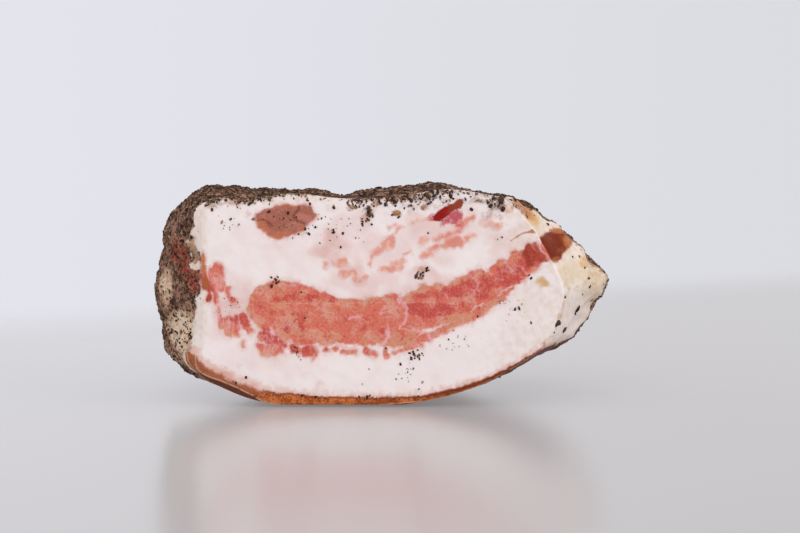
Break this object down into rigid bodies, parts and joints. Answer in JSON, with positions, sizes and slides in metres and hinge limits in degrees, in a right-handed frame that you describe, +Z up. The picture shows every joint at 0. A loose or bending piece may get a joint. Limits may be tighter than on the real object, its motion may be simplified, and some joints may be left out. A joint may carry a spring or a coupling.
{
  "type": "cured pork jowl",
  "caption": "Half of a guanciale, a peppered cured pork jowl: thick white fat with a streak of lean in a straight cut, rind underneath.",
  "frame": {"origin": "at the foot of the piece, on the surface that it rests on, under the middle of its box", "axes": "+X along the cut, to the right as seen from the front; -Y out of the cut, so the rounded end of the jowl points along +Y; +Z up, from the rind to the peppered top"},
  "size_m": [0.161, 0.1125, 0.0779],
  "materials": {
    "fat": "cured pork fat, smooth and slightly moist where cut, dried and peppered outside, with orange-brown rind underneath",
    "lean": "cured lean, salmon red with tan edges to its bundles, slightly moist",
    "lean_brown": "cured lean, dusty brown pink, peppered",
    "lean_dark": "cured lean, dark crimson, slightly moist"
  },
  "bodies": {
    "root": {"jowl_fat": "fat", "lean_streak": "lean", "lean_eye_large": "lean_brown", "lean_eye_small": "lean_dark"}
  },
  "joints": []
}
